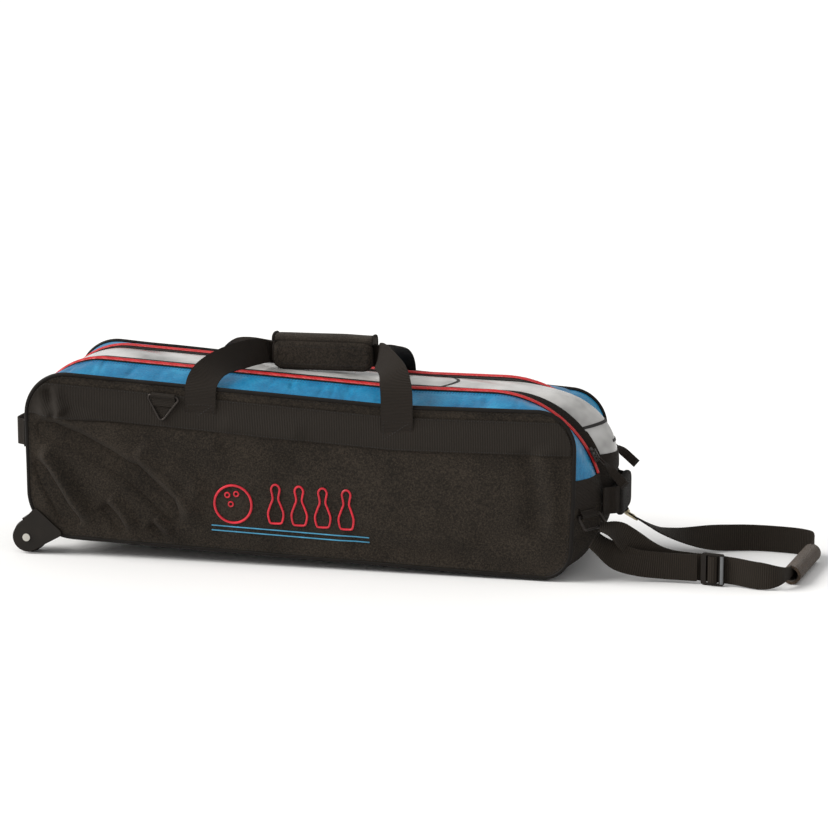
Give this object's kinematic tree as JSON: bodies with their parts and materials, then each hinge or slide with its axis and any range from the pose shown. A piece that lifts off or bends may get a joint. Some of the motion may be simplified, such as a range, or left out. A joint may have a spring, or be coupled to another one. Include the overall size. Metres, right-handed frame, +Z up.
{
  "type": "wheeled bowling ball tote bag",
  "caption": "Long soft-sided wheeled tote for bowling balls, with a zipped clear window top, joined carry handles, end grab handles and a clip-on pull strap",
  "frame": {"origin": "on the floor, under the middle of the bag without its pull strap", "axes": "+X towards the pull end, -X towards the wheels, -Y the front panel, +Z up"},
  "size_m": [1.1527, 0.2579, 0.3153],
  "materials": {
    "black_fabric": "woven polyester, matte",
    "webbing": "ribbed woven webbing, matte",
    "fleece": "soft napped fabric",
    "piping": "coated piping, satin",
    "coloured_vinyl": "coated fabric, glossy blue",
    "zip_tape": "red coil zip on woven tape",
    "clear_vinyl": "flexible clear vinyl, smoky",
    "foam": "closed-cell foam",
    "board": "stiff plastic sheet",
    "wheel": "moulded wheel",
    "black_plastic": "moulded plastic",
    "bright_metal": "bright rivet",
    "dark_metal": "black coated wire",
    "brass_metal": "plated swivel",
    "grip_rubber": "soft matte grip"
  },
  "bodies": {
    "bag": {"base_board": "board", "bottom_panel": "black_fabric", "front_axle": "bright_metal", "front_colour_strip": "coloured_vinyl", "front_handle_legs": "webbing", "front_panel": "black_fabric", "front_piping": "piping", "front_strap_ring": "dark_metal", "front_strap_tab": "webbing", "front_top_band": "webbing", "front_wheel_housing": "black_plastic", "front_window_tape": "zip_tape", "front_zip_tape": "zip_tape", "middle_ball_cup": "foam", "pull_end_ball_cup": "foam", "pull_end_band": "webbing", "pull_end_handle": "webbing", "pull_end_handle_pad": "fleece", "pull_end_panel": "black_fabric", "pull_strap_front": "webbing", "pull_strap_grip": "grip_rubber", "pull_strap_rear": "webbing", "pull_strap_return": "webbing", "pull_strap_slider": "black_plastic", "rear_axle": "bright_metal", "rear_colour_strip": "coloured_vinyl", "rear_handle_legs": "webbing", "rear_panel": "black_fabric", "rear_piping": "piping", "rear_strap_ring": "dark_metal", "rear_strap_tab": "webbing", "rear_top_band": "webbing", "rear_wheel_housing": "black_plastic", "rear_window_tape": "zip_tape", "rear_zip_tape": "zip_tape", "snap_hook_eye": "brass_metal", "triangle_ring_loop": "webbing", "wheel_end_ball_cup": "foam", "wheel_end_handle": "webbing", "wheel_end_panel": "black_fabric", "window_fixed": "clear_vinyl"},
    "front_wheel": {"front_wheel": "wheel"},
    "rear_wheel": {"rear_wheel": "wheel"},
    "triangle": {"triangle_ring": "dark_metal"},
    "flap": {"window_flap": "clear_vinyl", "front_flap_tape": "zip_tape", "rear_flap_tape": "zip_tape", "flap_hem": "webbing"},
    "front_slider": {"front_zip_slider": "dark_metal"},
    "rear_slider": {"rear_zip_slider": "dark_metal"},
    "front_pull": {"front_zip_pull": "black_plastic"},
    "rear_pull": {"rear_zip_pull": "black_plastic"},
    "grip": {"grip_wrap": "black_fabric", "front_handle_grip": "webbing", "rear_handle_grip": "webbing"},
    "wrap_flap": {"grip_wrap_flap": "black_fabric"},
    "hook": {"snap_hook_body": "black_plastic"},
    "hook_gate": {"snap_hook_gate": "brass_metal"}
  },
  "joints": [
    {"name": "front_wheel_spin", "type": "hinge", "parent": "bag", "child": "front_wheel", "pos_m": [-0.404, -0.106, 0.024], "axis": [0, 1, 0], "continuous": true},
    {"name": "rear_wheel_spin", "type": "hinge", "parent": "bag", "child": "rear_wheel", "pos_m": [-0.404, 0.106, 0.024], "axis": [0, 1, 0], "continuous": true},
    {"name": "triangle_ring_swing", "type": "hinge", "parent": "bag", "child": "triangle", "pos_m": [-0.195, -0.1264, 0.2393], "axis": [-0.9977, 0, 0.0678], "range_deg": [0, 150]},
    {"name": "window_open", "type": "hinge", "parent": "bag", "child": "flap", "pos_m": [0.186, 0, 0.2556], "axis": [0, -1, 0], "range_deg": [0, 110]},
    {"name": "front_zip_travel", "type": "hinge", "parent": "bag", "child": "front_slider", "pos_m": [0.258, -0.056, 0.09], "axis": [0, -1, 0], "range_deg": [0, 60]},
    {"name": "rear_zip_travel", "type": "hinge", "parent": "bag", "child": "rear_slider", "pos_m": [0.258, 0.056, 0.09], "axis": [0, -1, 0], "range_deg": [0, 60]},
    {"name": "front_pull_swing", "type": "hinge", "parent": "front_slider", "child": "front_pull", "pos_m": [0.40833, -0.056, 0.16767], "axis": [0, -1, 0], "range_deg": [0, 110]},
    {"name": "rear_pull_swing", "type": "hinge", "parent": "rear_slider", "child": "rear_pull", "pos_m": [0.40833, 0.056, 0.16767], "axis": [0, -1, 0], "range_deg": [0, 110]},
    {"name": "grip_lift", "type": "slide", "parent": "bag", "child": "grip", "axis": [0, 0, 1], "range_m": [0, 0.035], "deforming": ["front_handle_legs", "rear_handle_legs"]},
    {"name": "wrap_open", "type": "hinge", "parent": "grip", "child": "wrap_flap", "pos_m": [0.007, -0.016, 0.302], "axis": [-1, 0, 0], "range_deg": [0, 110]},
    {"name": "hook_swivel", "type": "hinge", "parent": "bag", "child": "hook", "pos_m": [0.41466, 0.09659, 0.07424], "axis": [0.5259, 0.3201, -0.788], "range_deg": [-20, 20]},
    {"name": "hook_gate_press", "type": "hinge", "parent": "hook", "child": "hook_gate", "pos_m": [0.41745, 0.09829, 0.05966], "axis": [-0.5199, 0.8542, 0], "range_deg": [0, 20], "stiffness_Nm_per_rad": 0.02, "springref_deg": -5.73}
  ],
  "couplings": [
    {"joint": "front_zip_travel", "follows": "window_open", "ratio": 0.5454},
    {"joint": "rear_zip_travel", "follows": "window_open", "ratio": 0.5454}
  ]
}
